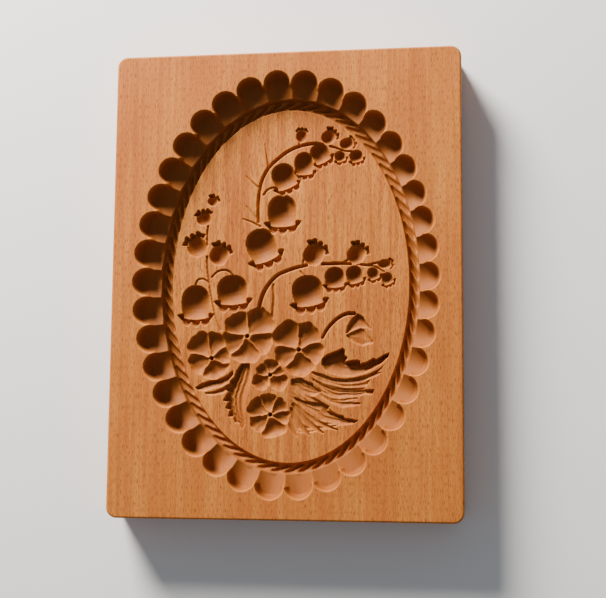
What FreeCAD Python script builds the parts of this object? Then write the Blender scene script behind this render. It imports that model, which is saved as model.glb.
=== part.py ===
import FreeCAD, Part
import math
import os

# Carved butter mould: one solid board lying on its back, design cut into its top face.
# Units are mm. X is the width, Y the length, +Z comes up out of the carved face.

# ---- the board ----
board_width = 150.0
board_length = 200.0
board_thickness = 20.0
corner_radius = 4.5
edge_round = 0.9

# ---- the oval field and what surrounds it ----
side_margin = 9.0          # scallop tips to the board's long sides
end_margin = 8.0           # scallop tips to the board's short ends
ring_width = 10.5          # scallop tips to the foot of the field wall
field_depth = 9.0          # face to the flat field
field_shift_x = 1.2        # the field sits slightly right of the scallop ring
field_shift_y = -0.2

scallop_pitch = 12.2       # wanted spacing, rounded to a whole number of scallops
scallop_fullness = 0.51    # gouge radius as a share of the true spacing
scallop_slope = 18.0       # degrees the gouge dips towards the field
scallop_lip = 0.6          # least height of the scallops' low ends above the field
drift_top = 1.5            # hand-set drift of the spacing round the ring
drift_side = -0.75
drift_twice = 0.75

rope_width = 4.0
rope_pitch = 5.6
rope_gap = 0.45            # plain strip between the rope and the wall's foot
strand_length = 8.4
strand_radius = 1.6
strand_twist = 18.0        # degrees between a strand and the rope's line

# ---- the carved flowers, drawn for a field of this half width and half length ----
drawn_half_width = 52.0
drawn_half_length = 77.5
bell_depth = 4.6           # of the widest bells
bell_full_width = 13.5
frill_share = 0.12         # frill lobe radius as a share of the bell's width
petal_depth = 1.9
stem_radius = 0.8
axis_lift = 0.12           # gouge strokes run this much above the field
least_back = 2.5           # wood left under the deepest cut

# ---- derived sizes ----
face_z = board_thickness
field_z = face_z - field_depth
axis_z = field_z + axis_lift
ring_half_x = board_width / 2 - side_margin
ring_half_y = board_length / 2 - end_margin
wall_half_x = ring_half_x - ring_width + 0.5
wall_half_y = ring_half_y - ring_width - 0.5
rope_half_x = wall_half_x - rope_width / 2 - rope_gap
rope_half_y = wall_half_y - rope_width / 2 - rope_gap
field_half_x = wall_half_x - rope_width
field_half_y = wall_half_y - rope_width
art_scale = min(field_half_x / drawn_half_width, field_half_y / drawn_half_length)
deepest = min(bell_depth * art_scale, field_z - least_back)

UP = FreeCAD.Vector(0, 0, 1)


def vec(x, y, z=0.0):
    return FreeCAD.Vector(x, y, z)


def place(shape, x, y, z, turn=0.0, tilt=0.0):
    """Tilts a shape about Y, turns it about Z, then moves it."""
    spin = FreeCAD.Rotation(UP, turn).multiply(FreeCAD.Rotation(vec(0, 1), tilt))
    shape.Placement = FreeCAD.Placement(vec(x, y, z), spin)
    return shape


def lathe(edges, end_x, end_radius=0.0):
    """Revolves edges that start at the origin, drawn above the X axis, about that axis."""
    if end_radius:
        edges = edges + [Part.makeLine(vec(end_x, 0, end_radius), vec(end_x, 0))]
    edges = edges + [Part.makeLine(vec(end_x, 0), edges[0].Vertexes[0].Point)]
    return Part.Face(Part.Wire(edges)).revolve(vec(0, 0), vec(1, 0), 360)


def oval_prism(half_x, half_y, z_low, z_high):
    if half_x < half_y:
        rim = Part.Ellipse(vec(0, half_y), vec(half_x, 0), vec(0, 0)).toShape()
    else:
        rim = Part.Ellipse(vec(half_x, 0), vec(0, half_y), vec(0, 0)).toShape()
    solid = Part.Face(Part.Wire([rim])).extrude(vec(0, 0, z_high - z_low))
    return place(solid, field_shift_x, field_shift_y, z_low)


def round_oval(half_x, half_y, count, drift=None):
    """Points spaced evenly clockwise round an oval from its top, with outward headings."""
    fine = 3600
    steps = [2 * math.pi * i / fine for i in range(fine + 1)]
    spots = [(half_x * math.sin(t), half_y * math.cos(t)) for t in steps]
    run = [0.0]
    for a, b in zip(spots, spots[1:]):
        run.append(run[-1] + math.dist(a, b))
    out = []
    i = 0
    for k in range(count):
        share = (k + 0.5) / count
        shift = drift(2 * math.pi * share) if drift else 0.0
        goal = (share * run[-1] + shift) % run[-1]
        i = min(range(0, fine, 8), key=lambda j: abs(run[j] - goal))
        t = steps[i] + (goal - run[i]) / (run[-1] / (2 * math.pi))
        x = half_x * math.sin(t)
        y = half_y * math.cos(t)
        out.append((x, y, math.degrees(math.atan2(y / half_y**2, x / half_x**2))))
    return out


def oval_length(half_x, half_y):
    h = ((half_x - half_y) / (half_x + half_y)) ** 2
    return math.pi * (half_x + half_y) * (1 + 3 * h / (10 + math.sqrt(4 - 3 * h)))


# ---- the blank ----
def blank():
    half_x = board_width / 2
    half_y = board_length / 2
    box = Part.makeBox(board_width, board_length, board_thickness, vec(-half_x, -half_y))
    upright = [e for e in box.Edges if abs(e.Vertexes[0].Z - e.Vertexes[-1].Z) > 1]
    box = box.makeFillet(corner_radius, upright)
    rims = [e for e in box.Edges if abs(e.BoundBox.ZMax - e.BoundBox.ZMin) < 1e-6]
    return box.makeFillet(edge_round, rims)


# ---- the scallops: a round-ended gouge dipping towards the field ----
def scallops():
    middle_x = ring_half_x - scallop_pitch / 2
    middle_y = ring_half_y - scallop_pitch / 2
    around = oval_length(middle_x, middle_y)
    count = round(around / scallop_pitch)
    radius = scallop_fullness * around / count
    slope = math.radians(scallop_slope)
    reach = ring_width - scallop_pitch / 2 + 1.2
    length = (reach + radius * math.sin(slope)) / math.cos(slope)
    bevel = radius * math.sqrt(0.5)
    drop = length * math.sin(slope) + radius * math.cos(slope)
    start_z = face_z + max(0.0, drop - field_depth + scallop_lip)

    def drift(t):
        return (drift_top * math.cos(t) + drift_side * math.sin(t)
                + drift_twice * math.cos(2 * t))

    cuts = []
    for x, y, heading in round_oval(middle_x, middle_y, count, drift):
        nose = Part.Arc(vec(-radius, 0), vec(-bevel, 0, bevel), vec(0, 0, radius)).toShape()
        side = Part.makeLine(vec(0, 0, radius), vec(length, 0, radius))
        gouge = lathe([nose, side], length, radius)
        cuts.append(place(gouge, x, y, start_z, heading + 180, scallop_slope))
    return cuts


# ---- the rope: overlapping spindles laid along the foot of the field wall ----
def spindle(length, radius):
    arc = Part.Arc(vec(0, 0), vec(length / 2, 0, radius), vec(length, 0)).toShape()
    return lathe([arc], length)


def rope():
    count = round(oval_length(rope_half_x, rope_half_y) / rope_pitch)
    cuts = []
    for x, y, heading in round_oval(rope_half_x, rope_half_y, count):
        turn = heading - 90 + strand_twist
        back = math.radians(turn)
        x0 = x + field_shift_x - strand_length / 2 * math.cos(back)
        y0 = y + field_shift_y - strand_length / 2 * math.sin(back)
        cuts.append(place(spindle(strand_length, strand_radius), x0, y0, axis_z, turn))
    return cuts


# ---- the flowers ----
def at(x, y):
    return x * art_scale + field_shift_x, y * art_scale + field_shift_y


def dish(x, y, radius, depth):
    """A round hollow cut below the field, radius wide at the field's level."""
    px, py = at(x, y)
    radius = radius * art_scale
    depth = min(depth * art_scale, deepest)
    ball = (radius**2 + depth**2) / (2 * depth)
    middle = vec(px, py, field_z + ball - depth)
    brim = math.degrees(math.asin((depth + 0.2 - ball) / ball))
    return Part.makeSphere(ball, middle, UP, -90, brim, 360)


def stroke(x1, y1, x2, y2, width):
    """A pointed gouge stroke from one place to another."""
    px, py = at(x1, y1)
    length = math.dist((x1, y1), (x2, y2)) * art_scale
    turn = math.degrees(math.atan2(y2 - y1, x2 - x1))
    return place(spindle(length, width * art_scale / 2 + axis_lift), px, py, axis_z, turn)


def stem(points, radius=1.0):
    """A round-bottomed groove through the given places."""
    path = [vec(*at(x, y), axis_z) for x, y in points]
    curve = Part.BSplineCurve()
    curve.interpolate(path)
    wire = Part.Wire([curve.toShape()])
    size = radius * stem_radius * art_scale
    start = curve.value(curve.FirstParameter)
    heading = curve.tangent(curve.FirstParameter)[0]
    ring = Part.Wire([Part.makeCircle(size, start, heading)])
    tube = wire.makePipeShell([ring], True, False)
    ends = [Part.makeSphere(size * 1.02, p) for p in (path[0], path[-1])]
    return [tube] + ends


def bell(x, y, width, length, mouth, lobes=5):
    """A bell-shaped hollow opening towards the angle mouth, with a frill of small lobes."""
    half = width * art_scale / 2
    long = length * art_scale
    depth = min(bell_depth * art_scale * min(1.0, width / bell_full_width + 0.15), deepest)
    depth = min(depth, 0.92 * half)
    full = (half**2 + depth**2) / (2 * depth)
    outline = [(0, 0), (0.08, 0.52), (0.28, 0.90), (0.52, 1.0), (0.76, 0.93), (0.92, 1.0)]
    curve = Part.BSplineCurve()
    curve.interpolate([vec(long * u, 0, full * w) for u, w in outline])
    body = lathe([curve.toShape()], 0.92 * long, full)
    aim = math.radians(mouth)
    px, py = at(x, y)
    crown_x = px - long / 2 * math.cos(aim)
    crown_y = py - long / 2 * math.sin(aim)
    cuts = [place(body, crown_x, crown_y, field_z + full - depth, mouth)]
    lobe = frill_share * width
    for k in range(lobes):
        across = (k / (lobes - 1) - 0.5) * width * 1.02
        along = length * (0.46 - 0.10 * abs(across / width))
        lx = x + along * math.cos(aim) - across * math.sin(aim)
        ly = y + along * math.sin(aim) + across * math.cos(aim)
        cuts.append(dish(lx, ly, lobe, lobe * 0.9))
    return cuts


def pansy(x, y, size, turn=0.0):
    """Five overlapping petals and a small deep eye. size is the flower's radius."""
    petals = [(55, 0.52, 0.52), (125, 0.54, 0.54), (195, 0.52, 0.42), (-15, 0.52, 0.42)]
    petals.append((-90, 0.50, 0.56))
    cuts = []
    for angle, out, broad in petals:
        aim = math.radians(angle + turn)
        px = x + size * out * math.cos(aim)
        py = y + size * out * math.sin(aim)
        cuts.append(dish(px, py, size * broad, petal_depth * (0.7 + broad)))
    cuts.append(dish(x, y, 0.9, 2.9))
    return cuts


def flowers():
    cuts = []
    # sprays of lily of the valley: the long stems first
    cuts += stem([(-12, 22.5), (-12, 37), (-7, 51.5), (4.5, 60), (16, 60.5), (29, 55.5)])
    cuts += stem([(-30, -21), (-33, -9), (-34.8, 8), (-34.5, 24)], 0.9)
    cuts += stem([(-11, -12), (-8.5, -5), (-4.5, 1), (0.5, 5.5), (7.5, 7)])
    cuts += stem([(16, 8), (29, 7.6), (40.5, 7.8)], 0.9)
    cuts += stem([(15.5, -23.5), (20, -18), (25, -14), (29, -13.5)])
    # side twigs and flower stalks
    cuts.append(stroke(-8, 51.5, -9.5, 61, 1.1))
    cuts.append(stroke(-12, 41.5, -18.5, 47.5, 1.2))
    cuts.append(stroke(-11.5, 25, -18, 33, 1.1))
    cuts.append(stroke(-11.5, 22.5, -19, 27.5, 1.2))
    cuts.append(stroke(-6, 3, -6, -14, 1.2))
    cuts += stem([(-9.5, 38.5), (-6.5, 41.5), (-3, 40)], 0.6)
    cuts += stem([(-39.5, -2), (-37, 1), (-34, -1)], 0.6)
    cuts += stem([(-31.5, 3.5), (-27.5, 6), (-23, 2.5)], 0.6)
    # the large hanging bells: place, width, length, way the mouth faces
    cuts += bell(-12, 16.5, 12.5, 13, -62, 7)
    cuts += bell(-2, 31.5, 12.5, 13.5, -90, 7)
    cuts += bell(-1.5, 47, 10, 10.5, -67)
    cuts += bell(7.5, 52, 8, 9.5, -90)
    cuts += bell(15, 56.5, 8, 8.5, -63)
    cuts += bell(-39.5, -9, 12.5, 14, -92, 7)
    cuts += bell(-23.5, -4, 13.5, 13, -86, 7)
    cuts += bell(9, -5, 13, 13.5, -73, 7)
    cuts += bell(20.5, 2, 9, 10, -80)
    cuts += bell(29, 2.5, 7.5, 8, -68)
    # small bells and buds near the tips
    cuts += bell(23.5, 54.5, 4.6, 4.8, -85, 3)
    cuts += bell(30, 54.5, 5, 5.2, -15, 3)
    cuts += bell(6.5, 64.5, 4.6, 5, 90, 3)
    cuts += bell(18.5, 63.5, 5.5, 5.8, 52, 3)
    cuts += bell(26, 60.5, 4.6, 6, 15, 3)
    cuts += bell(-39.5, 17, 8.5, 8.8, 132)
    cuts += bell(-29.5, 12.5, 8.5, 8.8, 50)
    cuts += bell(-36.5, 28.5, 6.4, 6.6, 135, 4)
    cuts += bell(-32.5, 35.5, 5, 5.4, 50, 3)
    cuts += bell(38, 3.6, 6, 6.2, -100, 4)
    cuts += bell(43, 0, 5.2, 5.6, -52, 3)
    cuts += bell(43, 8, 4.2, 5.4, 0, 3)
    cuts += bell(12.5, 12.5, 8.8, 9, 57)
    cuts += bell(30.5, 12.5, 7.8, 8.2, 58)
    # pansies
    cuts += pansy(-32.5, -33, 9.5, 35)
    cuts += pansy(-17, -23, 11.5)
    cuts += pansy(5, -29.5, 10.8)
    cuts += pansy(-8, -43, 7.6, 15)
    cuts += pansy(-6.5, -57, 8.8)
    # drooping bud
    cuts.append(dish(30.5, -16.5, 3.6, 1.6))
    cuts.append(stroke(25, -19, 38, -27, 6.4))
    cuts.append(stroke(30, -12.5, 36.5, -20.5, 2.4))
    # toothed leaves, each a fan of gouge strokes from its foot
    blades = [
        (10, -38, 42.6, -30, 5.6), (12, -37, 25, -28.6, 8.0), (14, -36.5, 31, -32.8, 6.0),
        (10, -39, 39.5, -38.6, 4.4), (9, -41, 36.5, -46, 4.8), (8, -43, 31, -52, 4.0),
        (1, -45, 29.5, -58.8, 5.6), (8, -49.6, 17.6, -52.6, 3.4), (2, -49, 22, -61.5, 3.2),
        (2, -51, 15.5, -63.5, 3.0), (2, -53, 8.5, -65, 2.8), (1, -41, 14.2, -46.2, 6.4),
        (-17, -36, -28, -50.5, 6.4), (-16, -39, -27, -55, 5.2), (-15, -42, -25.5, -60, 4.6),
        (-13.5, -44, -19.5, -61.5, 3.6), (-20, -38, -40, -45.4, 4.6), (-21, -39, -34, -47.2, 3.2),
    ]
    cuts += [stroke(*blade) for blade in blades]
    return cuts


def main():
    board = blank()
    field = oval_prism(wall_half_x, wall_half_y, field_z, face_z + 5)
    board = board.cut([field] + scallops())
    board = board.cut(rope())
    board = board.cut(flowers())
    solid = max(board.Solids, key=lambda s: s.Volume)
    os.makedirs("parts", exist_ok=True)
    solid.exportStep("parts/carved_board.step")
    print("solids", len(board.Solids), "valid", solid.isValid(), "faces", len(solid.Faces),
          "volume cm3", round(solid.Volume / 1000, 1))


main()
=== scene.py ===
import math

import bpy
import numpy as np
from mathutils import Matrix, Vector


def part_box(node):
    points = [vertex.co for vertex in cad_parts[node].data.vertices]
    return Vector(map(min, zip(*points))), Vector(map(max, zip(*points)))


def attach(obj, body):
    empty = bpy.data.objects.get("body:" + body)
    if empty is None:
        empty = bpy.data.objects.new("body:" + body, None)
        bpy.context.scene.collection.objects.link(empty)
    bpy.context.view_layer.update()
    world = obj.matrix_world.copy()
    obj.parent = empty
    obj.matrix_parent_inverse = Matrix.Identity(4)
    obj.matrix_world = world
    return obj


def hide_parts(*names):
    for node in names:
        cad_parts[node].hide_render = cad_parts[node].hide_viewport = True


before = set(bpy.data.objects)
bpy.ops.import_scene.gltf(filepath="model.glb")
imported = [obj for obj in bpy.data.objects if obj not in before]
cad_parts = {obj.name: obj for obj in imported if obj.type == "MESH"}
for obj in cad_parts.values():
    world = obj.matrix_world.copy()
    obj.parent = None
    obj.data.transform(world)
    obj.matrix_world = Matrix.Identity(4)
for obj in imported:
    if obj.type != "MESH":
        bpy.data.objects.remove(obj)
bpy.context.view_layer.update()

# Carved beech butter mould. Lengths here are mm; the mesh is scaled to metres at the end.
MM = 0.001

# ---- sizes that the CAD part has too ----
low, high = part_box("carved_board")
HALF_X = (high[0] - low[0]) / 2 / MM
HALF_Y = (high[1] - low[1]) / 2 / MM
FACE = high[2] / MM
CORNER = 4.5
EASED = 0.9
RING_X, RING_Y = HALF_X - 9.0, HALF_Y - 8.0
WALL_X, WALL_Y = RING_X - 10.0, RING_Y - 11.0
SHIFT = (1.2, -0.2)
FIELD = 9.0
SCALLOPS = 38
DRIFT = (1.5, -0.75, 0.75)      # how the scallops' spacing wanders round the ring
OVAL_STEPS = 7200           # steps that measure the way round an oval

# ---- shapes of the gouge cuts ----
SCALLOP_R = 5.95
SCALLOP_MARGIN = 0.15       # from a scallop's outer end to the outline of their ring
SCALLOP_UNEVEN = 0.02       # share by which a scallop's radius varies
SCALLOP_FLARE = 0.75        # a scallop widens this much on each side per mm inwards
SCALLOP_REACH = 9.0         # how far a scallop runs inwards from its middle
SCALLOP_WALL = (7.4, 3.6)   # full depth of the round wall, and the run that reaches it
SCALLOP_FLOOR = (6.7, 0.19)     # depth of the floor at the middle, and its fall inwards
SCALLOP_NEAR = 13           # how far out from its middle a scallop is worked out
WALL_RUN = 0.7              # run of the field's steep wall
ROPE_X, ROPE_Y = WALL_X - 2.45, WALL_Y - 2.45
ROPE_BED = (2.2, 1.3)       # half width and depth of the rope's bed
STRANDS = 74
STRAND_LENGTH = 10.2
STRAND_HALF = 1.12
STRAND_DEPTH = (1.0, 1.4)   # at a strand's edge, and what its middle adds
STRAND_SWAY = 0.30          # a strand bends to an S this far
STRAND_TWIST = math.radians(17)
EYE = (0.95, 3.6)           # radius and depth of a pansy's eye

# ---- mesh fineness ----
COLUMNS_TOP, COLUMNS_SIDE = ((340, 510))
RING_STEPS = (17, 5, 40)    # rope, field wall, scallops
SIDE_STEPS = 12
EASED_STEPS = 7
FLOWERS_IN = 5.6            # the flowers' grid stops this far inside the wall
WALL_IN, WALL_OUT = 0.75, 0.05      # the rings that hold the wall crisp
RIM_OUT = 1.5               # the rings' last guide, beyond the scallops
FLAT_STRIP = 0.12           # a flat strip beside each eased edge
LONG_EDGE = 2               # edges from this long, as on the back, say nothing about wear
EDGE_GAIN = 1.6             # turns the mesh's bend into worn edges and inner corners
HOLLOW_FULL = 6.0           # a hollow this deep stores 1 in blue

rng = np.random.default_rng(7)


# ---------------------------------------------------------------- the carving
class Carving:
    """Depth below the face at many places. Every gouge keeps the deeper of the two depths."""

    def __init__(self, x, y):
        self.x = x
        self.y = y
        self.depth = np.zeros_like(x)

    def near(self, cx, cy, reach):
        return np.nonzero((np.abs(self.x - cx) < reach) & (np.abs(self.y - cy) < reach))[0]

    def local(self, spot, cx, cy, angle):
        """Distances along and across a direction, from a centre."""
        dx = self.x[spot] - cx
        dy = self.y[spot] - cy
        c, s = math.cos(angle), math.sin(angle)
        return dx * c + dy * s, dy * c - dx * s

    def cut(self, spot, depth):
        self.depth[spot] = np.maximum(self.depth[spot], depth)

    def sink(self, spot, extra):
        """A hollow measured from the field's level."""
        self.cut(spot, np.where(extra > 0, FIELD + extra, 0))


def oval_spots(half_x, half_y, count, drift=(0, 0, 0)):
    """Places clockwise round an oval from its top, with outward headings. They are spaced
    evenly, apart from a slow drift."""
    t = np.linspace(0, 2 * np.pi, OVAL_STEPS + 1)
    x, y = half_x * np.sin(t), half_y * np.cos(t)
    run = np.concatenate([[0], np.cumsum(np.hypot(np.diff(x), np.diff(y)))])
    share = (np.arange(count) + 0.5) / count
    turn = 2 * np.pi * share
    goal = share * run[-1] + drift[0] * np.cos(turn) + drift[1] * np.sin(turn)
    goal = (goal + drift[2] * np.cos(2 * turn)) % run[-1]
    t = np.interp(goal, run, t)
    x, y = half_x * np.sin(t), half_y * np.cos(t)
    return x, y, np.arctan2(y / half_y**2, x / half_x**2)


def carve_scallops(c):
    """Each scallop is a steep round wall that meets a hollow floor sloping to the field.
    The floor is most hollow at the outer end."""
    inset = SCALLOP_R + SCALLOP_MARGIN
    spots = oval_spots(RING_X - inset, RING_Y - inset, SCALLOPS, DRIFT)
    for x, y, heading in zip(*spots):
        radius = SCALLOP_R * (1 + rng.uniform(-SCALLOP_UNEVEN, SCALLOP_UNEVEN))
        spot = c.near(x, y, SCALLOP_NEAR)
        u, v = c.local(spot, x, y, heading + math.pi)
        flare = SCALLOP_FLARE * np.clip(u, 0, None)
        inside = np.where(u < 0, radius - np.hypot(u, v), radius + flare - np.abs(v))
        inside = np.where(u < SCALLOP_REACH, inside, 0)
        wall_depth, wall_run = SCALLOP_WALL
        wall = wall_depth * (1 - (1 - np.clip(inside / wall_run, 0, 1)) ** 2.0)
        flatness = 8.0 + 0.9 * np.clip(u + 4, 0, None)
        floor_depth, fall = SCALLOP_FLOOR
        floor = np.clip(floor_depth + fall * u - v**2 / flatness, 0, None)
        c.cut(spot, np.where(inside > 0, np.minimum(wall, floor), 0))


def inside_oval(x, y, half_x, half_y):
    """Distance in from an oval's edge, near enough where it is small."""
    dx, dy = x - SHIFT[0], y - SHIFT[1]
    q = np.sqrt((dx / half_x) ** 2 + (dy / half_y) ** 2)
    grade = np.sqrt((dx / half_x**2) ** 2 + (dy / half_y**2) ** 2)
    return (1 - q) * q / np.maximum(grade, 1e-9)


def carve_field(c):
    inside = inside_oval(c.x, c.y, WALL_X, WALL_Y)
    c.depth = np.maximum(c.depth, FIELD * np.clip(inside / WALL_RUN, 0, 1))


def carve_rope(c):
    """Twisted strands: narrow hollows laid side by side in a bed along the wall's foot."""
    bed = inside_oval(c.x, c.y, ROPE_X, ROPE_Y)
    half, deep = ROPE_BED
    spot = np.nonzero(np.abs(bed) < half)[0]
    c.sink(spot, deep * np.sqrt(1 - (bed[spot] / half) ** 6))
    edge, more = STRAND_DEPTH
    for x, y, heading in zip(*oval_spots(ROPE_X, ROPE_Y, STRANDS)):
        x += SHIFT[0]
        y += SHIFT[1]
        spot = c.near(x, y, STRAND_LENGTH)
        a, b = c.local(spot, x, y, heading - math.pi / 2 + STRAND_TWIST)
        b = b - STRAND_SWAY * np.sin(np.clip(a / STRAND_LENGTH, -0.5, 0.5) * 2 * np.pi)
        shape = 1 - np.abs(2 * a / STRAND_LENGTH) ** 3 - (b / STRAND_HALF) ** 2
        c.sink(spot, np.where(shape > 0, edge + more * np.clip(shape, 0, 1) ** 0.9, 0))


# ---- flowers: places are from the board's middle, at the field's level ----
def smooth_line(points, step=0.25):
    """A smooth line through the points, as closely spaced places."""
    p = np.array(points, float)
    ends = np.vstack([2 * p[0] - p[1], p, 2 * p[-1] - p[-2]])
    out = []
    for i in range(1, len(ends) - 2):
        a, b, d, e = ends[i - 1:i + 3]
        n = max(int(np.hypot(*(d - b)) / step), 2)
        t = np.linspace(0, 1, n, endpoint=False)[:, None]
        out.append(0.5 * (2 * b + (d - a) * t + (2 * a - 5 * b + 4 * d - e) * t**2
                          + (3 * b - a - 3 * d + e) * t**3))
    out.append(p[-1:])
    return np.vstack(out)


def carve_stem(c, points, start, end, deep):
    line = smooth_line(points)
    middle = (line.min(0) + line.max(0)) / 2
    spot = c.near(*middle, np.ptp(line, axis=0).max() / 2 + 2)
    best = np.full(len(spot), 1e9)
    share = np.zeros(len(spot))
    for i, (px, py) in enumerate(line):
        gap = np.hypot(c.x[spot] - px, c.y[spot] - py)
        closer = gap < best
        best[closer] = gap[closer]
        share[closer] = i / (len(line) - 1)
    half = (start + (end - start) * share) / 2
    shape = np.clip(1 - (best / half) ** 2, 0, 1)
    c.sink(spot, deep * (half * 2 / start) * shape**0.6 * (shape > 0))


# along a bell from its crown: the places, and its width and depth there as shares; BUD_D
# is the depth of a bud, which stays deep at its mouth
BELL_S = [0, 0.02, 0.06, 0.13, 0.22, 0.35, 0.5, 0.66, 0.8, 0.92, 1.0]
BELL_W = [0, 0.30, 0.52, 0.72, 0.87, 0.98, 1.0, 0.98, 0.94, 0.95, 0.98]
BELL_D = [0.2, 0.38, 0.56, 0.74, 0.88, 0.98, 1.0, 0.92, 0.74, 0.44, 0.14]
BUD_D = [0.2, 0.36, 0.52, 0.68, 0.84, 0.96, 1.0, 0.94, 0.84, 0.70, 0.60]


def carve_bell(c, x, y, width, length, mouth, lobes=3, frill=1.0):
    """A bell: a deep bowl that rises to its mouth, with a frill of lobes along the mouth.
    A frill over 1 makes it a bud, with a larger frill."""
    bud = frill > 1
    aim = math.radians(mouth)
    deep = min(4.8, 0.36 * width + 0.9)
    half = width / 2
    spot = c.near(x, y, 0.85 * max(width, length) + 2.5)
    u, v = c.local(spot, x - length / 2 * math.cos(aim), y - length / 2 * math.sin(aim), aim)
    s = u / length
    across = np.abs(v) / half
    lip = 1.0 - 0.07 * across**2
    wide = half * np.interp(s, BELL_S, BELL_W, 0, 0)
    bowl = np.clip(1 - (v / np.maximum(wide, 1e-6)) ** 2, 0, 1) ** 0.62
    bowl = bowl * deep * np.interp(s, BELL_S, BUD_D if bud else BELL_D, 0, 0)
    c.sink(spot, np.where((s > 0) & (s < lip), bowl, 0))
    # the frill: rounded lobes beyond the mouth, and a pointed one at each corner
    tooth = (0.20 * width + 0.7) * frill
    depth = min(2.3, 0.12 * width + 0.8) * (1.2 if bud else 1.0)
    wave = np.abs(np.sin(math.pi * lobes * (v / half + 1) / 2)) ** 0.6
    reach = tooth * (0.16 + 0.84 * wave)
    t = (u - length * lip + (0.4 if bud else 0.0)) / reach
    band = np.clip(4 * t * (1 - t), 0, 1) ** 0.3
    c.sink(spot, np.where((t > 0) & (t < 1) & (across < 1.0), depth * band, 0))
    point = (across - 0.86) / (0.20 + 0.45 * tooth / half)
    thick = (0.34 * tooth + 0.05 * length) * (1 - np.clip(point, 0, 1) ** 1.5)
    t = (u - 0.95 * length + (0.1 if bud else 0.4) * tooth * point) / np.maximum(thick, 1e-6)
    corner = np.clip(1 - t**2, 0, 1) ** 0.4
    c.sink(spot, np.where((point > 0) & (point < 1), depth * corner * (1.2 - 0.5 * point), 0))


def carve_pansy(c, x, y, petals):
    """A flower round its eye: egg-shaped bowls with wavy rims, parted by soft ridges."""
    spot = c.near(x, y, 1.1 * max(petal[1] for petal in petals))
    dx, dy = c.x[spot] - x, c.y[spot] - y
    rhos, bowls = [], []
    for angle, reach, broad, deep in petals:
        aim = math.radians(angle)
        long = 0.48 * reach
        a = dx * math.cos(aim) + dy * math.sin(aim) - 0.53 * reach
        b = dy * math.cos(aim) - dx * math.sin(aim)
        wide = broad * (1.22 + 0.16 * np.clip(a / long, -1.2, 1.2))
        turn = np.arctan2(b / broad, a / long)
        wavy = 1 + 0.045 * np.cos(4 * turn + angle) + 0.030 * np.cos(7 * turn + 2 * angle)
        rho = np.hypot(a / long, b / wide) / wavy
        from_eye = np.hypot(dx, dy) / reach
        ribs = 0.10 * np.cos((np.arctan2(dy, dx) - aim) * 11 + 3 * from_eye)
        bowl = np.clip(1 - rho**2.4, 0, 1) ** 0.7 * deep * 0.86 * (0.75 + 0.30 * from_eye)
        rhos.append(rho)
        bowls.append(bowl + ribs * np.clip(1.3 * from_eye, 0, 1) * np.clip(2 - 2 * rho, 0, 1))
    rhos, bowls = np.array(rhos), np.array(bowls)
    order = np.sort(rhos, axis=0)
    own = np.take_along_axis(bowls, rhos.argmin(0)[None], 0)[0]
    apart = np.clip((order[1] - order[0]) / 0.34, 0, 1)
    apart = apart * (2 - apart)
    c.sink(spot, own * (0.40 + 0.60 * apart) * (order[0] < 1))
    rho = np.hypot(dx, dy)
    base = 0.74 * min(petal[1] for petal in petals)
    c.sink(spot, 0.7 * np.clip(1 - (rho / base) ** 4, 0, 1) ** 0.6 * (rho < base))
    eye, eye_deep = EYE
    c.sink(spot, eye_deep * np.sqrt(np.clip(1 - (rho / eye) ** 2, 0, 1)) * (rho < eye))


def line_gap(x, y, line):
    """Distance to the nearest part of a line."""
    gap = np.full(len(x), 1e9)
    for (x0, y0), (x1, y1) in zip(line, line[1:]):
        dx, dy = x1 - x0, y1 - y0
        t = np.clip(((x - x0) * dx + (y - y0) * dy) / (dx * dx + dy * dy), 0, 1)
        gap = np.minimum(gap, np.hypot(x - x0 - t * dx, y - y0 - t * dy))
    return gap


def carve_leaf(c, upper, lower, deep, shallow, ribs, count, fade=0.0):
    """A leaf between two edges drawn from foot to tip: deep under the upper edge, with
    ribs that follow its length. It can fade in over a length from its foot."""
    outline = list(upper) + list(lower)[::-1]
    p = np.array(outline, float)
    middle = (p.min(0) + p.max(0)) / 2
    spot = c.near(*middle, np.ptp(p, axis=0).max() / 2 + 0.5)
    x, y = c.x[spot], c.y[spot]
    inside = np.zeros(len(spot), bool)
    for (x0, y0), (x1, y1) in zip(outline, outline[1:] + outline[:1]):
        if y0 != y1:
            inside ^= ((y0 > y) != (y1 > y)) & (x < x0 + (y - y0) * (x1 - x0) / (y1 - y0))
    spot, x, y = spot[inside], x[inside], y[inside]
    up = line_gap(x, y, upper)
    down = line_gap(x, y, lower)
    t = down / np.maximum(up + down, 1e-6)
    walls = np.clip(np.minimum(up / 0.55, down / 0.75), 0, 1) ** 0.6
    turn = 2 * np.pi * count * t + 0.9 * np.sin(0.37 * x + 5 * t) + 0.7 * np.sin(11 * t)
    lines = ribs * np.cos(turn) * np.clip(np.minimum(up, down) / 0.8, 0, 1)
    depth = (shallow + (deep - shallow) * t**0.6) * walls + lines
    if fade:
        depth = depth * np.clip(line_gap(x, y, [upper[0], lower[0]]) / fade, 0, 1)
    c.sink(spot, depth)


def carve_blade(c, x1, y1, x2, y2, width, deep, bend):
    """A single gouge stroke from its foot to its sharp tip."""
    length = math.dist((x1, y1), (x2, y2))
    spot = c.near((x1 + x2) / 2, (y1 + y2) / 2, length / 2 + width)
    a, b = c.local(spot, x1, y1, math.atan2(y2 - y1, x2 - x1))
    s = np.clip(a / length, 0, 1)
    b = b - bend * np.sin(np.pi * s)
    half = width / 2 * np.sin(np.pi * s**0.8) ** 0.75
    shape = np.clip(1 - (np.abs(b) / np.maximum(half, 1e-6)) ** 2, 0, 1)
    depth = deep * (0.65 + 0.5 * s) * shape**0.6
    c.sink(spot, np.where((a > 0) & (a < length) & (shape > 0), depth, 0))


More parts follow.
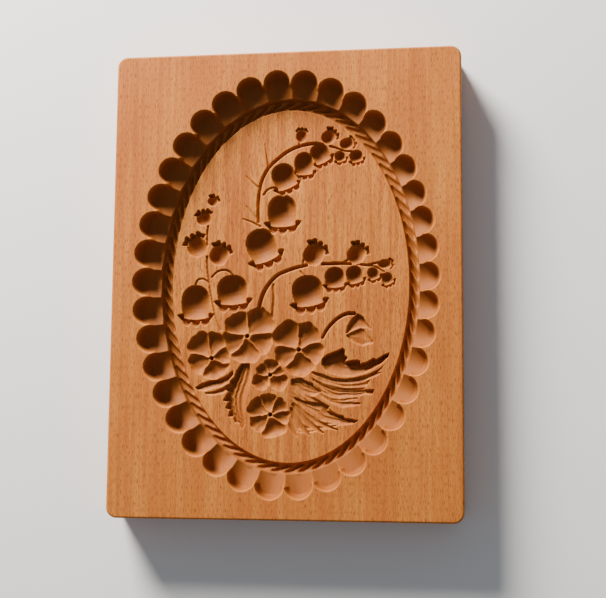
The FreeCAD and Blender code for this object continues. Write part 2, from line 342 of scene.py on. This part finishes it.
# stems: places along the middle, width at the start and at the end, depth
STEMS = [
    # the long stems, in pieces where flowers break them
    ([(-12.7, 27), (-12.9, 33), (-12.6, 39), (-11.8, 44), (-10, 48.5), (-7.5, 52), (-3.5, 55.5),
      (0, 58), (4, 59.8), (8, 60.8), (12, 61.1), (15, 60.5)], 1.5, 1.6, 1.5),
    ([(18.4, 59.8), (21, 59), (24, 57.8), (27, 57.3), (29, 57)], 1.1, 0.9, 1.3),
    ([(-28.7, -20), (-30, -17), (-31.5, -12), (-33, -5), (-34, 1), (-34.8, 6), (-35.2, 12)],
     1.0, 1.2, 0.7),
    ([(-35.2, 17), (-35.3, 21), (-35.1, 25.6)], 0.9, 1.0, 0.9),
    ([(-12.2, -12), (-11.3, -7.5), (-9.8, -3.5), (-7.5, 0.2), (-4, 3.6), (0, 5.4), (4, 6.7),
      (8.4, 7.7)], 1.8, 1.5, 1.7),
    ([(15.4, 8.2), (20, 8.3), (24, 8.3), (27.6, 8.1)], 1.5, 1.4, 1.6),
    ([(30.5, 7.9), (34, 7.5), (37, 7.1), (39.5, 6), (41.8, 4.6)], 1.2, 0.8, 1.3),
    ([(34.5, 7.5), (37.5, 8.2), (40.2, 8.6)], 0.9, 0.9, 1.1),
    ([(15.6, -23.4), (17.5, -20), (20, -17), (23, -14.6), (26, -13.3), (29, -13.2)],
     1.3, 1.7, 1.6),
    ([(-6, -0.5), (-5.6, -5), (-5.8, -10), (-6.2, -15)], 1.3, 1.3, 0.8),
    # twigs and flower stalks
    ([(-8.6, 52), (-9.4, 56), (-10.3, 61.5)], 1.1, 0.5, 0.8),
    ([(-12.8, 42), (-15.5, 44.4), (-18.6, 47.4)], 1.2, 0.5, 0.9),
    ([(-13.2, 28), (-15.5, 30.8), (-18.2, 34)], 1.1, 0.6, 0.7),
    ([(-12, 25), (-15.5, 26.8), (-19.6, 28.4)], 1.2, 0.7, 0.9),
    ([(-10.6, 39), (-9, 41), (-6.5, 42), (-4, 41.3), (-2.8, 39.5)], 1.0, 0.9, 1.0),
    ([(-40, 0), (-39.2, 1.7), (-37.5, 2.4), (-35.5, 1.6), (-34, 0)], 1.0, 0.8, 0.9),
    ([(-33, 3), (-30.8, 5.2), (-28, 6.1), (-25.5, 5.5), (-24, 4)], 0.8, 1.0, 0.9),
    ([(24.3, 8.5), (25.8, 9.6), (27.4, 10.3)], 1.0, 0.9, 1.1),
    ([(7.2, 7.5), (6.9, 9), (7.4, 10.5)], 0.8, 0.8, 1.0),
    ([(5.8, 5.2), (7.4, 3.4)], 0.7, 0.7, 0.7),
    ([(4.8, 59.5), (5, 62.8)], 0.8, 0.9, 0.9),
]

# bells: place, width, length, way the mouth faces, lobes of the frill, its size
BELLS = [
    # hanging bells
    (-11.3, 16.7, 13.2, 14.8, -68),
    (-2.4, 31.7, 12.8, 14.0, -88),
    (-1.9, 47.0, 10.4, 11.4, -68),
    (7.0, 52.4, 8.4, 10.0, -88),
    (13.9, 56.8, 8.2, 8.8, -64),
    (-39.9, -7.9, 12.6, 15.0, -89),
    (-23.8, -2.6, 13.4, 13.0, -86),
    (9.0, -3.3, 13.4, 13.4, -80),
    (20.7, 2.4, 8.5, 8.8, -86),
    (29.1, 3.5, 7.0, 7.6, -74),
    (22.7, 55.2, 4.8, 4.6, -72, 2),
    (29.7, 55.2, 5.8, 5.2, -76, 3),
    (37.2, 3.9, 5.0, 5.2, -68, 2),
    (43.0, 1.7, 5.0, 5.2, -66, 3),
    # buds that face up
    (5.8, 64.6, 4.7, 5.4, 85, 3, 0.7),
    (17.6, 63.8, 5.8, 6.2, 42, 3, 1.15),
    (25.6, 60.8, 4.8, 6.0, 15, 2, 0.9),
    (42.1, 7.9, 4.0, 5.6, 5, 2, 0.8),
    (-39.8, 16.3, 8.4, 8.4, 114, 3, 1.2),
    (-30.0, 12.4, 8.0, 8.4, 66, 3, 1.15),
    (-36.9, 28.7, 6.4, 5.6, 98, 3, 1.1),
    (-33.2, 36.4, 4.4, 4.0, 62, 2, 1.1),
    (11.4, 12.2, 8.6, 9.0, 58, 3, 1.15),
    (29.8, 12.1, 7.4, 8.0, 56, 3, 1.15),
]

# leaves: upper edge, lower edge, depth under the upper edge and at the lower one, depth of
# the ribs and how many, length over which the foot fades in
LEAVES = [
    # shallow ribbed ground under the two fans of leaves
    ([(10.8, -38.2), (17, -40.8), (24, -42.0), (31, -42.2), (36, -41.4)],
     [(10.5, -45), (14.5, -48.8), (19, -51.0), (25, -51.6), (30, -50.6)],
     0.7, 0.4, 0.20, 6.0, 4.0),
    ([(2.4, -42), (8, -46.6), (15, -50.4), (20, -54.6), (26, -58.2)],
     [(0.6, -53), (1.6, -58), (4.2, -63.4), (9.0, -64.0), (15.5, -62.8), (21, -61.4)],
     0.8, 0.4, 0.24, 6.5, 5.0),
    # right: a broad toothed leaf, then narrower ones fanned below it
    ([(15.4, -32.4), (17.5, -30.7), (20.3, -29.6), (22.3, -28.8), (24.2, -27.9), (25.2, -28.9),
      (25.1, -31.0), (26.4, -32.0), (25.2, -33.6), (27.6, -33.1), (30.2, -32.9), (31.7, -33.4),
      (31.6, -34.5), (34.5, -33.7), (37.2, -32.2), (38.5, -32.7), (41.5, -30.8), (43.9, -29.8)],
     [(15.2, -35.0), (16.6, -37.2), (19.5, -38.8), (23.5, -39.7), (28.5, -39.8), (33, -38.7),
      (37, -36.9), (41, -34.4), (43.4, -32.0)], 3.8, 0.9, 0.16, 2.0),
    ([(10.6, -37.6), (15.5, -38.9), (20, -40.6), (25, -41.0), (30, -40.4), (35, -39.1),
      (39.5, -36.8), (42.5, -34.6)],
     [(10.8, -38.8), (13, -40.4), (17, -42.2), (22, -43.3), (28, -43.3), (33, -42.6),
      (35.5, -40.9), (39.4, -39.4), (40.7, -38.4), (39.4, -37.9)], 1.3, 0.6, 0.14, 2.0),
    ([(11, -40.4), (16, -43.2), (20, -44.5), (28, -45.1), (33, -45.4), (37.8, -45.3)],
     [(12, -42.2), (16, -45.8), (19.5, -48.6), (22.5, -49.8), (26, -49.0), (30, -48.7),
      (34.2, -47.3), (36.8, -47.7)], 1.4, 0.7, 0.26, 3.0),
    ([(12, -43.6), (15.5, -47), (19, -49.6), (24, -50.6), (28, -50.6), (32, -51.0)],
     [(11.5, -45), (15, -48.6), (19, -51.2), (24, -53.0), (28, -52.6), (31.6, -52.0)],
     0.9, 0.4, 0.14, 2.0),
    ([(2.2, -41.2), (6.6, -40.4), (8, -41.6), (11.6, -42.9), (12, -44.0), (15.3, -46.0)],
     [(2.4, -44), (4, -46.8), (6.2, -49.0), (10.5, -48.7), (14.2, -47.4)], 1.7, 0.6, 0.20, 3.0),
    ([(3.6, -48.6), (8, -50.2), (12.6, -50.7), (15.8, -50.9), (18.8, -52.6), (17.8, -54.2),
      (20.2, -55.1), (22.5, -56.0), (24.6, -56.4), (25.3, -57.5), (28.4, -57.8), (31, -58.6)],
     [(4.4, -50.8), (6.8, -53.3), (10.5, -56.2), (15.5, -59.0), (20.5, -60.3), (24.5, -60.5),
      (28.5, -59.9)], 1.9, 0.6, 0.24, 2.5),
    # left: a long leaf hanging down with teeth on its left edge, and two that point left
    ([(-19.4, -34.6), (-21.5, -37.6), (-22.4, -40.2), (-24.4, -42.0), (-23.9, -44.0),
      (-26.6, -45.2), (-25.0, -46.8), (-26.0, -48.4), (-27.2, -50.4), (-24.9, -50.9),
      (-26.0, -53.6), (-24.1, -54.4), (-24.8, -57.2), (-22.7, -57.2), (-22, -59.6),
      (-20, -60.2), (-18.6, -62.4)],
     [(-15.6, -34.4), (-14.8, -38), (-15.2, -42), (-16.4, -46), (-17.2, -50), (-17.6, -55),
      (-17.4, -60)], 2.3, 0.6, 0.34, 3.5),
    ([(-23, -37.4), (-25.5, -39.6), (-29, -41.2), (-33.5, -41.9), (-36.5, -42.9),
      (-39.4, -44.8)],
     [(-22.8, -39.6), (-25, -42.4), (-28, -44.2), (-32, -45.2), (-35.5, -46.2), (-38, -46.0)],
     1.9, 0.6, 0.20, 1.5),
    ([(-23.6, -42.6), (-28, -45.2), (-31, -46.3), (-35.2, -46.9)],
     [(-24, -45), (-27, -47.2), (-31, -48.0), (-34.8, -47.8)], 1.1, 0.4, 0.1, 1.0),
    # the drooping pansy bud, as two leaves
    ([(25.6, -21.6), (26.2, -18.4), (28.2, -15.4), (30.4, -13.2), (33, -14.6), (34.6, -17.4),
      (36.4, -19.9)],
     [(26.4, -21.6), (28.4, -20.4), (31.4, -19.2), (34, -19.3), (35.8, -20.0)],
     1.9, 0.7, 0.1, 1.0),
    ([(26.2, -21.8), (29, -20.6), (31.6, -19.5), (33.4, -19.9), (35.2, -22.6), (37.3, -25.0)],
     [(25.8, -23), (27, -24.5), (30, -26.1), (32.6, -27.0), (35, -26.2), (36.8, -26.1)],
     0.7, 1.2, 0.12, 1.0),
]

# blades: foot, tip, width, depth, bend
BLADES = [
    (3, -51, 22.5, -62.5, 2.6, 1.3, -1.6),
    (2.5, -51.5, 16.5, -64, 3.4, 1.5, -1.0),
    (2, -53, 10.5, -65, 3.0, 1.4, -0.6),
    (1, -56, 5, -65.5, 2.4, 1.1, -0.4),
]

# pansies: place, then each petal's direction, reach from the eye, half breadth, depth
PANSIES = [
    (-7.0, -39.3,
     [(78, 6.6, 3.0, 2.8), (150, 6.2, 2.6, 2.4), (215, 8.2, 3.0, 3.0), (-35, 8.4, 3.2, 3.2),
      (20, 6.0, 2.4, 2.4)]),
    (-6.8, -56.2,
     [(155, 10.0, 4.0, 3.2), (98, 9.0, 3.4, 2.8), (42, 8.6, 3.4, 3.0), (-8, 8.6, 3.4, 3.0),
      (-72, 9.6, 4.8, 3.4), (214, 9.2, 3.8, 3.0)]),
    (-32.6, -32.1,
     [(128, 12.4, 5.0, 3.8), (80, 11.2, 4.3, 3.5), (12, 8.4, 3.6, 3.0), (-68, 8.8, 5.0, 3.4),
      (196, 10.0, 4.2, 3.5)]),
    (5.3, -28.5,
     [(128, 13.4, 5.8, 4.0), (62, 12.2, 4.9, 3.8), (-8, 10.8, 4.2, 3.4), (-82, 11.2, 5.2, 3.6),
      (200, 10.4, 4.4, 3.4)]),
    (-17.2, -22.6,
     [(130, 11.2, 4.9, 3.8), (48, 13.8, 5.4, 4.0), (-22, 11.4, 4.4, 3.5), (-90, 11.4, 5.6, 3.6),
      (205, 10.8, 4.6, 3.6)]),
]


def carve_flowers(c):
    for carve_one, table in ((carve_stem, STEMS), (carve_bell, BELLS), (carve_leaf, LEAVES),
                             (carve_blade, BLADES), (carve_pansy, PANSIES)):
        for one in table:
            carve_one(c, *one)


def carve(x, y, flowers):
    """Depths at the given places: with the flowers in the field, or the scallops round it."""
    c = Carving(x.ravel().copy(), y.ravel().copy())
    if not flowers:
        carve_scallops(c)
    carve_field(c)
    carve_rope(c)
    if flowers:
        carve_flowers(c)
    return c.depth.reshape(x.shape)


# ---------------------------------------------------------------- the board's mesh
def rounded_outline(px, py):
    """Where rays through the given places leave the board, and the outward way there."""
    size = np.hypot(px, py)
    dx, dy = np.abs(px) / size, np.abs(py) / size
    cx, cy = HALF_X - CORNER, HALF_Y - CORNER
    with np.errstate(divide="ignore"):
        to_side = HALF_X / dx
        to_end = HALF_Y / dy
    along = dx * cx + dy * cy
    to_corner = along + np.sqrt(np.maximum(along**2 - (cx**2 + cy**2 - CORNER**2), 0))
    side = to_side * dy <= cy
    end = (to_end * dx <= cx) & ~side
    far = np.where(side, to_side, np.where(end, to_end, to_corner))
    x, y = dx * far, dy * far
    nx = np.where(side, 1, np.where(end, 0, (x - cx) / CORNER))
    ny = np.where(side, 0, np.where(end, 1, (y - cy) / CORNER))
    sx, sy = np.sign(px), np.sign(py)
    return x * sx, y * sy, nx * sx, ny * sy


def board_mesh():
    """One closed mesh: a fine carved face, eased edges, plain sides and back."""
    n, m = COLUMNS_TOP, COLUMNS_SIDE
    a = np.linspace(-np.pi / 4, np.pi / 4, n + 1)[:, None]
    b = np.linspace(-np.pi / 4, np.pi / 4, m + 1)[None, :]
    # a square grid bent into a unit disc
    unit_x = math.sqrt(2) * np.sin(a) * np.cos(b)
    unit_y = math.sqrt(2) * np.sin(b) * np.cos(a)
    in_x, in_y = WALL_X - FLOWERS_IN, WALL_Y - FLOWERS_IN
    x = in_x * unit_x + SHIFT[0]
    y = in_y * unit_y + SHIFT[1]
    z = FACE - carve(x, y, True)
    points = [np.stack([x.ravel(), y.ravel(), z.ravel()], 1)]
    index = np.arange((n + 1) * (m + 1)).reshape(n + 1, m + 1)
    quads = [np.stack([index[:-1, :-1], index[1:, :-1], index[1:, 1:], index[:-1, 1:]],
                      -1).reshape(-1, 4)]
    rim = np.concatenate([index[:-1, 0], index[-1, :-1], index[:0:-1, -1], index[0, :0:-1]])
    cx, cy = unit_x.ravel()[rim], unit_y.ravel()[rim]

    def ring(half_x, half_y, shift):
        return half_x * cx + shift[0], half_y * cy + shift[1]

    guides = [ring(in_x, in_y, SHIFT),
              ring(WALL_X - WALL_IN, WALL_Y - WALL_IN, SHIFT),
              ring(WALL_X + WALL_OUT, WALL_Y + WALL_OUT, SHIFT),
              ring(RING_X + RIM_OUT, RING_Y + RIM_OUT, (0, 0))]
    rows = []
    for (x0, y0), (x1, y1), steps in zip(guides, guides[1:], RING_STEPS):
        for k in range(1, steps + 1):
            t = k / steps
            rows.append((x0 + (x1 - x0) * t, y0 + (y1 - y0) * t))
    ring_x = np.array([r[0] for r in rows])
    ring_y = np.array([r[1] for r in rows])
    ring_z = FACE - carve(ring_x, ring_y, False)
    rings = [np.stack([p, q, r], 1) for p, q, r in zip(ring_x, ring_y, ring_z)]

    ox, oy, nx, ny = rounded_outline(*guides[-1])

    def outline(inset, height):
        rings.append(np.stack([ox - nx * inset, oy - ny * inset, np.full_like(ox, height)], 1))

    outline(EASED + FLAT_STRIP, FACE)
    turns = np.linspace(0, np.pi / 2, EASED_STEPS)
    for t in turns:
        outline(EASED * (1 - math.sin(t)), FACE - EASED * (1 - math.cos(t)))
    for height in np.linspace(FACE - EASED - FLAT_STRIP, EASED + FLAT_STRIP, SIDE_STEPS):
        outline(0, height)
    for t in turns[::-1]:
        outline(EASED * (1 - math.sin(t)), EASED * (1 - math.cos(t)))
    outline(EASED + FLAT_STRIP, 0)
    around = len(rim)
    start = len(points[0])
    before = rim
    step = np.roll(np.arange(around), -1)
    for k, r in enumerate(rings):
        points.append(r)
        now = start + k * around + np.arange(around)
        quads.append(np.stack([before, now, now[step], before[step]], 1))
        before = now
    middle = start + len(rings) * around
    points.append(np.array([[0.0, 0.0, 0.0]]))
    fan = np.stack([before, np.full(around, middle), before[step]], 1)

    verts = np.vstack(points) * MM
    faces = np.vstack(quads)        # four-sided; the fan's triangles close the back
    mesh = bpy.data.meshes.new("carved_face")
    mesh.vertices.add(len(verts))
    mesh.vertices.foreach_set("co", verts.ravel())
    corners = np.concatenate([faces.ravel(), fan.ravel()])
    mesh.loops.add(len(corners))
    mesh.loops.foreach_set("vertex_index", corners)
    starts = np.concatenate([np.arange(len(faces)) * 4, len(faces) * 4 + np.arange(around) * 3])
    mesh.polygons.add(len(starts))
    mesh.polygons.foreach_set("loop_start", starts)
    mesh.update(calc_edges=True)
    mesh.validate()
    mesh.polygons.foreach_set("use_smooth", np.ones(len(mesh.polygons), bool))
    return mesh


def wear_and_shade_attribute(mesh):
    """Stores worn edges in red, inner corners in green and how deep the hollows are in blue.
    Green and blue drive the painted shade in corners and hollows.
    """
    count = len(mesh.vertices)
    co = np.empty(count * 3)
    mesh.vertices.foreach_get("co", co)
    co = co.reshape(-1, 3) / MM
    normal = np.empty(count * 3)
    mesh.vertex_normals.foreach_get("vector", normal)
    normal = normal.reshape(-1, 3)
    ends = np.empty(len(mesh.edges) * 2, int)
    mesh.edges.foreach_get("vertices", ends)
    i, j = ends.reshape(-1, 2).T
    way = co[i] - co[j]
    size = np.linalg.norm(way, axis=1)
    keep = (size > 1e-6) & (size < LONG_EDGE)
    i, j, way, size = i[keep], j[keep], way[keep], size[keep]
    bend = np.zeros(count)
    seen = np.full(count, 1e-6)
    np.add.at(bend, i, (normal[i] * way).sum(1) / size**1.5)
    np.add.at(bend, j, -(normal[j] * way).sum(1) / size**1.5)
    np.add.at(seen, i, 1)
    np.add.at(seen, j, 1)
    bend /= seen
    for _ in range(2):
        total = bend.copy()
        number = np.ones(count)
        np.add.at(total, i, bend[j])
        np.add.at(total, j, bend[i])
        np.add.at(number, i, 1)
        np.add.at(number, j, 1)
        bend = total / number
    colour = np.ones((count, 4), np.float32)
    colour[:, 0] = np.clip(bend * EDGE_GAIN, 0, 1)
    colour[:, 1] = np.clip(-bend * EDGE_GAIN, 0, 1)
    carved = np.hypot(co[:, 0] / (RING_X + 2), co[:, 1] / (RING_Y + 2)) < 1
    inside = inside_oval(co[:, 0], co[:, 1], WALL_X, WALL_Y)
    flat = FIELD * np.clip(inside / WALL_RUN, 0, 1)
    hollow = np.where(carved & (normal[:, 2] > 0), FACE - co[:, 2] - flat, 0)
    colour[:, 2] = np.clip(hollow / HOLLOW_FULL, 0, 1)
    layer = mesh.color_attributes.new("wear_and_shade", "FLOAT_COLOR", "POINT")
    layer.data.foreach_set("color", colour.ravel())


# ---------------------------------------------------------------- oiled beech
class Nodes:
    """Short ways to add and link shader nodes."""

    def __init__(self, material):
        material.use_nodes = True
        self.tree = material.node_tree
        self.tree.nodes.clear()

    def add(self, kind, inputs=None, **settings):
        node = self.tree.nodes.new(kind)
        for key, value in settings.items():
            setattr(node, key, value)
        for key, value in (inputs or {}).items():
            self.put(node.inputs[key], value)
        return node

    def put(self, socket, value):
        if isinstance(value, bpy.types.NodeSocket):
            self.tree.links.new(value, socket)
        else:
            socket.default_value = value

    def noise(self, where, detail, rough, warp):
        node = self.add("ShaderNodeTexNoise", {
            "Vector": where, "Scale": 1.0, "Detail": detail,
            "Roughness": rough, "Distortion": warp})
        return node.outputs["Fac"]

    def stretch(self, where, x, y, z, shift=(0, 0, 0)):
        node = self.add("ShaderNodeMapping", {"Vector": where, "Scale": (x, y, z),
                                              "Location": shift})
        return node.outputs["Vector"]

    def band(self, value, low, high, out_low=0.0, out_high=1.0):
        node = self.add("ShaderNodeMapRange", {
            "Value": value, "From Min": low, "From Max": high,
            "To Min": out_low, "To Max": out_high})
        node.clamp = True
        return node.outputs["Result"]

    def math(self, kind, a, b=0.0):
        node = self.add("ShaderNodeMath", operation=kind)
        self.put(node.inputs[0], a)
        self.put(node.inputs[1], b)
        return node.outputs[0]

    def mix(self, factor, a, b):
        node = self.add("ShaderNodeMix", data_type="RGBA", blend_type="MIX")
        self.put(node.inputs["Factor"], factor)
        self.put(node.inputs[6], a)
        self.put(node.inputs[7], b)
        return node.outputs[2]

    def lay(self, colour, mask, over, amount):
        """Lays a colour over the one so far, where a mask says and by an amount."""
        return self.mix(self.math("MULTIPLY", mask, amount), colour, over)


PALE = (0.600, 0.205, 0.034, 1)
WARM = (0.50, 0.140, 0.022, 1)
DEEP = (0.28, 0.060, 0.008, 1)
# what is laid over these in turn: a colour, and how strongly
STREAK = DEEP, 0.56
GOLDEN = (0.68, 0.265, 0.046, 1), 0.60
RING = DEEP, 0.16
FIBRE = DEEP, 0.34
FLECK = (0.18, 0.042, 0.011, 1), 0.80
FINE_FLECK = (0.20, 0.042, 0.010, 1), 0.50
ACROSS_GRAIN = (0.34, 0.075, 0.014, 1), 0.22
END_GRAIN = (0.27, 0.058, 0.011, 1), 0.45
# painted shade: darkens inner corners the way shade falls there, together with some oil held in
# them
CORNER_SHADE_AND_OIL = (0.20, 0.036, 0.006, 1), 0.60
RUBBED = (0.72, 0.27, 0.065, 1), 0.42
# painted shade: darkens hollows more the deeper they are, the way shade falls there, together
# with some oil held in them
HOLLOW_SHADE_AND_OIL = (0.258, 0.075, 0.0125, 1), 0.88
PITH_X, PITH_DOWN = 22.0, 150.0     # the tree's middle, in mm from the board's origin
RING_PACE = 0.85                    # radians of the ring wave per mm from the pith
RING_DRIFT = 26.0                   # and how far slow noise pushes the wave


def beech():
    material = bpy.data.materials.new("oiled_beech")
    n = Nodes(material)
    place = n.add("ShaderNodeTexCoord").outputs["Object"]
    wood = n.stretch(place, 1 / MM, 1 / MM, 1 / MM)

    def grain(across, along, detail, rough=0.5, warp=0.0, shift=(0, 0, 0)):
        """Noise drawn out along the board, with its fineness across and along per mm."""
        return n.noise(n.stretch(wood, across, along, across, shift), detail, rough, warp)

    # growth rings: wide wavy bands round a pith far below the board
    drift = grain(0.03, 0.004, 2.0)
    split = n.add("ShaderNodeSeparateXYZ", {"Vector": wood})
    off_x = n.math("ADD", split.outputs["X"], -PITH_X)
    off_z = n.math("ADD", split.outputs["Z"], PITH_DOWN)
    pith = n.math("SQRT", n.math("ADD", n.math("MULTIPLY", off_x, off_x),
                                 n.math("MULTIPLY", off_z, off_z)))
    rings = n.math("ADD", n.math("MULTIPLY", pith, RING_PACE),
                   n.math("MULTIPLY", drift, RING_DRIFT))
    rings = n.band(n.math("SINE", rings), -1.0, 1.0)

    # long soft streaks, fine fibres and the short dark flecks of beech
    cloud = grain(0.045, 0.012, 3.0, 0.55, shift=(3, 1, 2))
    streak = grain(0.55, 0.012, 4.0, 0.6)
    golden = grain(0.40, 0.018, 3.0, 0.55, 0.4, (7, 3, 9))
    fibre = grain(3.4, 0.10, 3.0, 0.6)
    fleck = n.band(grain(3.4, 0.42, 1.5, shift=(5, 9, 1)), 0.53, 0.70)
    fine_fleck = n.band(grain(3.2, 0.7, 1.0, shift=(11, 4, 7)), 0.62, 0.76)

    # streaks are weaker near the face than in the field
    by_height = n.band(split.outputs["Z"], 12.0, 19.0, 1.0, 0.55)
    colour = n.mix(n.band(cloud, 0.30, 0.72), PALE, WARM)
    for mask, (over, strength) in ((n.band(streak, 0.42, 0.62), STREAK),
                                   (n.band(golden, 0.50, 0.62), GOLDEN)):
        colour = n.lay(colour, mask, over, n.math("MULTIPLY", by_height, strength))
    colour = n.lay(colour, rings, *RING)
    colour = n.lay(colour, n.band(fibre, 0.42, 0.78), *FIBRE)
    colour = n.lay(colour, fleck, *FLECK)
    colour = n.lay(colour, fine_fleck, *FINE_FLECK)

    # wood cut across the grain drinks more oil; edges are rubbed pale; inner corners and
    # hollows are darkened with painted shade, together with some oil held there
    normal = n.add("ShaderNodeNewGeometry").outputs["Normal"]
    tilt = n.add("ShaderNodeSeparateXYZ", {"Vector": normal}).outputs["Y"]
    across = n.math("ABSOLUTE", tilt)
    colour = n.lay(colour, n.band(across, 0.25, 0.95), *ACROSS_GRAIN)
    over, strength = END_GRAIN
    end_grain = n.band(across, 0.96, 0.99, 0.0, strength)
    colour = n.lay(colour, end_grain, over, n.band(rings, 0.2, 1.0, 0.55, 1.0))
    wear_and_shade = n.add("ShaderNodeAttribute", attribute_name="wear_and_shade", attribute_type="GEOMETRY")
    wear_and_shade = n.add("ShaderNodeSeparateColor", {"Color": wear_and_shade.outputs["Color"]})
    # painted shade in inner corners (green), with some oil
    colour = n.lay(colour, wear_and_shade.outputs["Green"], *CORNER_SHADE_AND_OIL)
    colour = n.lay(colour, wear_and_shade.outputs["Red"], *RUBBED)
    # painted shade in hollows, stronger the deeper they are (blue), with some oil
    colour = n.lay(colour, n.band(wear_and_shade.outputs["Blue"], 0.02, 0.45), *HOLLOW_SHADE_AND_OIL)

    smear = grain(0.08, 0.05, 3.0)
    rough = n.math("ADD", n.band(smear, 0.3, 0.7, 0.46, 0.58),
                   n.math("MULTIPLY", fibre, 0.10))
    rough = n.math("ADD", rough, n.math("MULTIPLY", wear_and_shade.outputs["Blue"], 0.10))

    height = n.math("ADD", n.math("MULTIPLY", fibre, 0.35), n.math("MULTIPLY", streak, 0.35))
    height = n.math("SUBTRACT", height, n.math("MULTIPLY", fleck, 0.30))
    height = n.math("SUBTRACT", height, n.math("MULTIPLY", fine_fleck, 0.15))
    bump = n.add("ShaderNodeBump", {"Height": height, "Strength": 0.55, "Distance": 0.00012})

    shader = n.add("ShaderNodeBsdfPrincipled", {
        "Base Color": colour, "Roughness": rough, "Normal": bump.outputs["Normal"],
        "Specular IOR Level": 0.20, "IOR": 1.45})
    out = n.add("ShaderNodeOutputMaterial")
    n.put(out.inputs["Surface"], shader.outputs["BSDF"])
    return material


# ---------------------------------------------------------------- put together
board = bpy.data.objects.new("carved_mould", board_mesh())
bpy.context.scene.collection.objects.link(board)
wear_and_shade_attribute(board.data)
board.data.materials.append(beech())
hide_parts("carved_board")
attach(board, "root")


# ---------------------------------------------------------------- floor, light, camera
SKY = (0.87, 0.93, 1.0, 1)
PAPER = (0.92, 0.91, 0.90, 1)
CAMERA_SPOT = (78.3, -68.3, 496.1)      # mm from the face's middle
CAMERA_AIM = (8.3, -7.9, 0.0)
CAMERA_ROLL = math.radians(-0.5)
SENSOR, LENS = 36.0, 71.3


def plain_floor():
    """Wide enough to fill a picture from above, and a little below the board's back."""
    size = 3.0
    mesh = bpy.data.meshes.new("floor")
    mesh.from_pydata([(-size, -size, 0), (size, -size, 0), (size, size, 0), (-size, size, 0)],
                     [], [(0, 1, 2, 3)])
    floor = bpy.data.objects.new("floor", mesh)
    floor.location.z = -0.2 * MM
    bpy.context.scene.collection.objects.link(floor)
    material = bpy.data.materials.new("floor_paper")
    n = Nodes(material)
    shader = n.add("ShaderNodeBsdfPrincipled", {"Base Color": PAPER, "Roughness": 0.9})
    n.put(n.add("ShaderNodeOutputMaterial").inputs["Surface"], shader.outputs["BSDF"])
    mesh.materials.append(material)


def area_light(name, azimuth, elevation, distance, size, power, colour):
    """A soft light. Azimuth is measured from +X towards +Y, in degrees."""
    a, e = math.radians(azimuth), math.radians(elevation)
    way = Vector((math.cos(a) * math.cos(e), math.sin(a) * math.cos(e), math.sin(e)))
    data = bpy.data.lights.new(name, "AREA")
    data.shape = "DISK"
    data.size = size
    data.energy = power
    data.color = colour
    lamp = bpy.data.objects.new(name, data)
    lamp.location = way * distance + Vector((0, 0, FACE * MM))
    lamp.rotation_mode = "QUATERNION"
    lamp.rotation_quaternion = (-way).to_track_quat("-Z", "Y")
    bpy.context.scene.collection.objects.link(lamp)


def soft_sky(strength):
    world = bpy.data.worlds.new("soft_sky")
    bpy.context.scene.world = world
    n = Nodes(world)
    sky = n.add("ShaderNodeBackground", {"Color": SKY, "Strength": strength})
    n.put(n.add("ShaderNodeOutputWorld").inputs["Surface"], sky.outputs["Background"])


def camera():
    """Above the board, a little to the right and below its middle."""
    spot, aim = (Vector((x, y, FACE + z)) * MM for x, y, z in (CAMERA_SPOT, CAMERA_AIM))
    upright = Vector((math.sin(CAMERA_ROLL), math.cos(CAMERA_ROLL), 0))
    data = bpy.data.cameras.new("camera")
    data.sensor_width = SENSOR
    data.lens = LENS
    data.clip_start = 0.01
    forward = (aim - spot).normalized()
    right = forward.cross(upright).normalized()
    up = right.cross(forward)
    cam = bpy.data.objects.new("camera", data)
    turn = Matrix((right, up, -forward)).transposed().to_4x4()
    cam.matrix_world = Matrix.Translation(spot) @ turn
    bpy.context.scene.collection.objects.link(cam)
    bpy.context.scene.camera = cam


plain_floor()
area_light("key", azimuth=119, elevation=24, distance=0.9, size=0.38, power=33.5,
           colour=(1.0, 0.96, 0.88))
soft_sky(strength=0.26)
camera()
